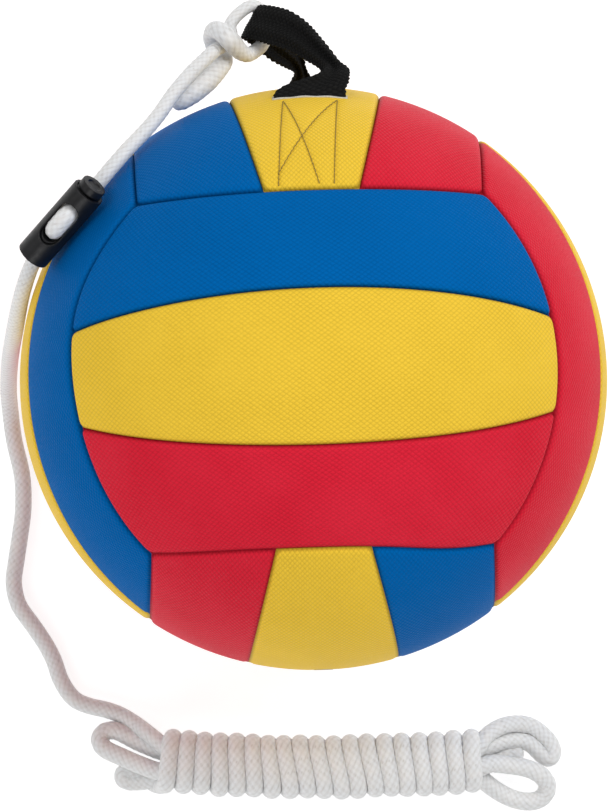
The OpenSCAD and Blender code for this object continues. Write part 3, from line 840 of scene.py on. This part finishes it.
def make_strap():
    """The ribbed webbing from one slit to the other, gathered where the rope draws it together."""
    route = smooth_route(STRAP_ROUTE, 40)
    line = even(route, 0.35)
    line[:, :4] *= MM
    place, width, turn = line[:, :3], line[:, 3], np.radians(line[:, 4])
    heading = np.gradient(place, axis=0)
    heading /= np.linalg.norm(heading, axis=1)[:, None]
    flat = np.stack([np.cos(turn), np.sin(turn), np.zeros_like(turn)], -1)
    out = np.cross(heading, flat)
    out /= np.linalg.norm(out, axis=1)[:, None]
    along = np.concatenate([[0], np.cumsum(np.linalg.norm(np.diff(place, axis=0), axis=1))])
    columns = 64
    s = np.linspace(-0.5, 0.5, columns)
    # Where the webbing is gathered, it buckles into pleats; the rope pulls the tip flat.
    from_tip = along - along[place[:, 0].argmin()]
    fold = FOLD_DEPTH * np.sqrt(np.clip(STRAP_W**2 - width**2, 0, None))
    fold *= 1 - 0.9 * np.exp(-((from_tip / FLAT_TIP_REACH) ** 2))
    phase = 2 * np.pi * along / (1.25 * WEAVE_PITCH) + 1.5 * np.sin(along / (3 * MM))
    scallop = SCALLOP * np.sin(phase)[:, None] * (np.sign(s) * np.abs(2 * s) ** 6)[None, :]
    sheet = place[:, None] + flat[:, None] * (s[None, :] * width[:, None] + scallop)[..., None]
    sheet = sheet + out[:, None] * (fold[:, None] * np.sin(4 * np.pi * s + 0.6)[None, :])[..., None]
    across = s * STRAP_W
    height = weave_height(along[:, None], across[None, :])
    edge = np.clip((0.5 - np.abs(s)) * STRAP_W / (0.9 * MM), 0, 1)
    thick = STRAP_T / 2 * np.sqrt(1 - (1 - edge) ** 2)[None, :]
    thick = thick - WEAVE_RELIEF * (1 - height) * edge[None, :]
    upper = sheet + out[:, None] * thick[..., None]
    lower = sheet - out[:, None] * thick[..., None]
    ring = np.concatenate([upper, lower[:, ::-1]], axis=1)
    rows, count = ring.shape[:2]
    faces = quads(rows, count, wrap=True, flip=True)
    faces.append(list(range(count)))
    faces.append(list(range((rows - 1) * count, rows * count))[::-1])
    both = np.concatenate([across, across[::-1]])
    uv = np.stack(np.broadcast_arrays(along[:, None], both[None, :]), -1)
    # Depth of the weave's grooves, which the material uses to paint shade into them.
    groove = {"groove": np.concatenate([1 - height, 1 - height[:, ::-1]], axis=1).ravel()}
    piece = build("webbing_loop", ring.reshape(-1, 3), faces, uv.reshape(-1, 2), "weave", groove)
    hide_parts("strap_loop")
    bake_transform(piece)
    return piece


strap = make_strap()


def make_slit_edges():
    """The pale cut edge of the cover along each slit."""
    paths = []
    for sign in (1, -1):
        for offset in (SLIT_HALF_GAP, -SLIT_HALF_GAP):
            half = STRAP_W / 2 + 0.6 * MM
            count = 40
            x = STRAP_X + np.linspace(-half, half, count)
            angle = SLIT_ANGLE + offset / BALL_R
            lift = 0.12 * MM * np.sin(np.linspace(0, 19, count)) + 0.1 * MM
            path = np.array([on_ball(p, sign * angle, BALL_R + q) for p, q in zip(x, lift)]) + CENTRE
            paths.append(path)
    piece = tubes_mesh("slit_edges", paths, SLIT_EDGE_R, 10)
    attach(piece, "ball")
    return piece


slit_edges = make_slit_edges()

# ---- Materials -----------------------------------------------------------------------------------


class Finish:
    """A node material with short ways to add nodes and join them."""

    def __init__(self, name, colour, roughness):
        self.material = bpy.data.materials.new(name)
        self.material.use_nodes = True
        self.tree = self.material.node_tree
        self.shader = self.tree.nodes["Principled BSDF"]
        self.shader.inputs["Base Color"].default_value = (*colour, 1)
        self.shader.inputs["Roughness"].default_value = roughness

    def node(self, kind, feeds=(), **settings):
        made = self.tree.nodes.new(kind)
        for key, value in settings.items():
            setattr(made, key, value)
        for key, value in dict(feeds).items():
            self.feed(made.inputs[key], value)
        return made

    def feed(self, socket, value):
        if isinstance(value, bpy.types.NodeSocket):
            self.tree.links.new(value, socket)
        else:
            socket.default_value = value

    def diamonds(self, first, second):
        """A pattern of diamonds, 0 on the lines where the sum or the difference is a whole number."""
        waves = []
        for operation in ("ADD", "SUBTRACT"):
            phase = self.math("MULTIPLY", self.math(operation, first, second), math.pi)
            waves.append(self.math("ABSOLUTE", self.math("SINE", phase)))
        return self.math("MULTIPLY", *waves)

    def math(self, operation, first, second=0.0, third=0.0):
        return self.node("ShaderNodeMath", {0: first, 1: second, 2: third}, operation=operation).outputs[0]

    def uv(self, name):
        map_node = self.node("ShaderNodeUVMap", uv_map=name)
        parts = self.node("ShaderNodeSeparateXYZ", {0: map_node.outputs[0]})
        return map_node.outputs[0], parts.outputs[0], parts.outputs[1]

    def number(self, name):
        return self.node("ShaderNodeAttribute", attribute_name=name).outputs["Fac"]

    def noise(self, vector, scale, detail=2.0, roughness=0.5):
        feeds = {"Scale": scale, "Detail": detail, "Roughness": roughness}
        if vector is not None:
            feeds["Vector"] = vector
        else:
            feeds["Vector"] = self.node("ShaderNodeTexCoord").outputs["Object"]
        return self.node("ShaderNodeTexNoise", feeds).outputs["Fac"]

    def ramp(self, value, low, high, to_low=0.0, to_high=1.0):
        feeds = {"Value": value, "From Min": low, "From Max": high, "To Min": to_low, "To Max": to_high}
        return self.node("ShaderNodeMapRange", feeds).outputs[0]

    def mix(self, factor, first, second):
        node = self.node("ShaderNodeMix", data_type="RGBA")
        self.feed(node.inputs[0], factor)
        self.feed(node.inputs[6], (*first, 1) if isinstance(first, tuple) else first)
        self.feed(node.inputs[7], (*second, 1) if isinstance(second, tuple) else second)
        return node.outputs[2]

    def bump(self, height, distance, strength=1.0):
        node = self.node("ShaderNodeBump", {"Height": height, "Strength": strength, "Distance": distance})
        self.feed(self.shader.inputs["Normal"], node.outputs[0])

    def set(self, **sockets):
        for key, value in sockets.items():
            self.feed(self.shader.inputs[key.replace("_", " ")], value)


def darker(colour, factor):
    return tuple(c * factor for c in colour)


def cover_finish(name, colour, lit, gloss):
    """Embossed synthetic leather: small raised diamonds in staggered rows with painted shade in their grooves,
    soft patches of painted sheen, and painted shade along the seams.
    """
    finish = Finish(name, colour, 0.42)
    _, along, across = finish.uv("strip")
    pitch_along, pitch_across = 2.3 * MM, 1.7 * MM
    x = finish.math("DIVIDE", along, pitch_along)
    y = finish.math("DIVIDE", across, pitch_across)
    diamond = finish.math("POWER", finish.diamonds(x, y), 0.6)
    sheen_patches = finish.noise(None, 35.0, 3.0)
    grain = finish.noise(None, 1800.0, 2.0)
    seam = finish.number("seam")
    height = finish.math("ADD", diamond, finish.math("MULTIPLY", grain, 0.25))
    finish.bump(height, 0.25 * MM, 0.8)
    # Painted shade: the grooves between the diamonds are darker than their tops.
    groove = finish.ramp(diamond, 0.0, 0.7, 0.0, 1.0)
    body = finish.mix(groove, darker(colour, 0.78), colour)
    # Painted sheen: soft random patches of the lit copy of the colour.
    body = finish.mix(finish.ramp(sheen_patches, 0.35, 0.7, 0.0, 0.35), body, lit)
    # Painted shade along the seams, where the panel edges roll down.
    body = finish.mix(finish.math("MULTIPLY", seam, 0.75), body, darker(colour, 0.30))
    finish.set(Base_Color=body)
    finish.set(Roughness=finish.ramp(grain, 0.3, 0.7, 0.38, 0.52))
    finish.shader.inputs["Specular IOR Level"].default_value = gloss
    return finish.material


def rope_finish():
    """White synthetic braid: bright strands, painted shade that turns the grooves grey, fine filaments."""
    finish = Finish("rope_braid", (0.80, 0.80, 0.82), 0.5)
    uv = finish.uv("braid")[0]
    groove = finish.number("groove")
    scale = (BRAID_STRANDS * 5.0, 40.0, 1.0)
    stretched = finish.node("ShaderNodeMapping", {"Vector": uv, "Scale": scale}).outputs[0]
    filament = finish.noise(stretched, 1.6, 2.0)
    patch = finish.noise(None, 220.0, 2.0)
    # Painted shade: grey in the braid's grooves, the strand colour on their crowns.
    body = finish.mix(finish.ramp(groove, 0.12, 0.8, 0.0, 1.0), (0.79, 0.80, 0.81), (0.62, 0.61, 0.60))
    body = finish.mix(finish.ramp(filament, 0.35, 0.7, 0.0, 0.25), body, (0.70, 0.70, 0.70))
    body = finish.mix(finish.ramp(patch, 0.45, 0.75, 0.0, 0.35), body, (0.82, 0.79, 0.76))
    finish.bump(filament, 0.12 * MM, 0.6)
    finish.set(Base_Color=body)
    finish.shader.inputs["Subsurface Weight"].default_value = 0.15
    finish.shader.inputs["Subsurface Radius"].default_value = (1 * MM, 1 * MM, 1 * MM)
    finish.shader.inputs["Subsurface Scale"].default_value = 1.0
    return finish.material


def webbing_finish():
    """Black woven nylon: painted shade makes the grooves nearly black between slightly lighter ribs, and dull
    fibres.
    """
    finish = Finish("webbing_weave", (0.012, 0.012, 0.014), 0.62)
    groove = finish.number("groove")
    fibre = finish.noise(None, 2600.0, 2.0)
    # Painted shade: the weave's grooves are darker than its ribs.
    body = finish.mix(finish.ramp(groove, 0.1, 0.9), (0.006, 0.006, 0.006), (0.001, 0.001, 0.001))
    body = finish.mix(finish.ramp(fibre, 0.5, 0.75, 0.0, 0.4), body, (0.014, 0.014, 0.014))
    finish.bump(fibre, 0.1 * MM, 0.7)
    finish.set(Base_Color=body)
    finish.shader.inputs["Specular IOR Level"].default_value = 0.12
    return finish.material


def plastic_finish():
    """Satin black plastic with faint scuffs."""
    finish = Finish("lock_moulded_plastic", (0.010, 0.010, 0.012), 0.4)
    cloud = finish.noise(None, 900.0, 3.0)
    scuff = finish.noise(None, 260.0, 4.0)
    shade = finish.ramp(scuff, 0.5, 0.8, 0.0, 0.5)
    finish.set(Base_Color=finish.mix(shade, (0.005, 0.005, 0.006), (0.012, 0.012, 0.015)))
    finish.shader.inputs["Specular IOR Level"].default_value = 0.32
    finish.set(Roughness=finish.ramp(cloud, 0.3, 0.7, 0.34, 0.5))
    finish.bump(cloud, 0.03 * MM, 0.5)
    return finish.material


def plain_finish(name, colour, roughness, scale, relief, metallic=0.0):
    """Foam, cloth, rubber and wire: a mottled colour and a fine grain at the given scale."""
    finish = Finish(name, colour, roughness)
    grain = finish.noise(None, scale, 3.0)
    finish.set(Base_Color=finish.mix(finish.ramp(grain, 0.3, 0.7), darker(colour, 0.75), colour))
    finish.bump(grain, relief, 0.6)
    finish.shader.inputs["Metallic"].default_value = metallic
    return finish.material


def floor_finish():
    """White paper with a strong glow of its own, which keeps it white and still takes soft shadows."""
    finish = Finish("floor_paper", (0.5, 0.5, 0.5), 0.85)
    grain = finish.noise(None, 60.0, 3.0)
    finish.set(Base_Color=finish.mix(finish.ramp(grain, 0.3, 0.7), (0.49, 0.49, 0.49), (0.51, 0.51, 0.51)))
    finish.shader.inputs["Emission Color"].default_value = (1, 1, 1, 1)
    finish.shader.inputs["Emission Strength"].default_value = 0.72
    return finish.material


# Each cover: its colour, a lit copy of it for the painted sheen, and its gloss.
FINISHES = {
    "cover_blue": cover_finish("cover_blue_grain", (0.0, 0.118, 0.40), (0.0, 0.13, 0.44), 0.01),
    "cover_yellow": cover_finish("cover_yellow_grain", (0.86, 0.56, 0.042), (0.92, 0.61, 0.055), 0.04),
    "cover_red": cover_finish("cover_red_grain", (0.68, 0.014, 0.036), (0.78, 0.030, 0.062), 0.04),
    "rope": rope_finish(),
    "webbing": webbing_finish(),
    "lock_plastic": plastic_finish(),
    "foam": plain_finish("foam_cells", (0.30, 0.30, 0.29), 0.9, 900.0, 0.2 * MM),
    "lining": plain_finish("lining_cloth", (0.72, 0.72, 0.70), 0.85, 1500.0, 0.1 * MM),
    "patch": plain_finish("cloth_edge", (0.62, 0.60, 0.54), 0.85, 1500.0, 0.1 * MM),
    "bladder_rubber": plain_finish("bladder_rubber_skin", (0.03, 0.03, 0.03), 0.6, 400.0, 0.05 * MM),
    "valve_rubber": plain_finish("valve_rubber_skin", (0.02, 0.02, 0.022), 0.5, 700.0, 0.03 * MM),
    "thread": plain_finish("thread_twist", (0.27, 0.18, 0.035), 0.7, 3000.0, 0.05 * MM),
    "spring_steel": plain_finish("spring_wire", (0.62, 0.63, 0.65), 0.3, 500.0, 0.01 * MM, 1.0),
}


def paint(obj, slot):
    """Gives a piece the one material of its slot."""
    obj.data.materials.clear()
    obj.data.materials.append(FINISHES[slot])


for piece, slot in panels:
    paint(piece, slot)
for piece in (rope, knot, bight):
    paint(piece, "rope")
for piece in (barrel, plunger):
    paint(piece, "lock_plastic")
for piece in stitches:
    paint(piece, "thread")
paint(spring, "spring_steel")
paint(strap, "webbing")
paint(slit_edges, "patch")
for part in frame["record"]["subparts"]:
    node = frame["nodes"][part["node"]]
    for place in node.material_slots:
        place.material = FINISHES[part["material_slot"]]

# ---- Floor and light -----------------------------------------------------------------------------


def make_floor():
    half = 4.0
    corners = [(-half, -half, 0), (half, -half, 0), (half, half, 0), (-half, half, 0)]
    mesh = bpy.data.meshes.new("floor")
    mesh.from_pydata(corners, [], [(0, 1, 2, 3)])
    floor = bpy.data.objects.new("floor", mesh)
    bpy.context.collection.objects.link(floor)
    floor.data.materials.append(floor_finish())


def make_light(name, at, size, power):
    """A large soft panel of light that faces the ball."""
    data = bpy.data.lights.new(name, "AREA")
    data.size = size
    data.energy = power
    light = bpy.data.objects.new(name, data)
    light.location = at
    aim = Vector(CENTRE) - Vector(at)
    light.rotation_euler = aim.to_track_quat("-Z", "Y").to_euler()
    bpy.context.collection.objects.link(light)


def make_world(strength):
    world = bpy.data.worlds.new("studio")
    world.use_nodes = True
    background = world.node_tree.nodes["Background"]
    background.inputs["Color"].default_value = (1, 1, 1, 1)
    background.inputs["Strength"].default_value = strength
    bpy.context.scene.world = world


make_floor()
make_light("key", (1.15, 0.75, 1.7), 1.2, 27)
make_light("fill", (-1.3, 0.4, 1.5), 1.2, 9)
make_light("low", (-0.7, -1.4, 1.3), 1.0, 9)
make_world(0.36)
bpy.context.scene.view_settings.view_transform = "Standard"
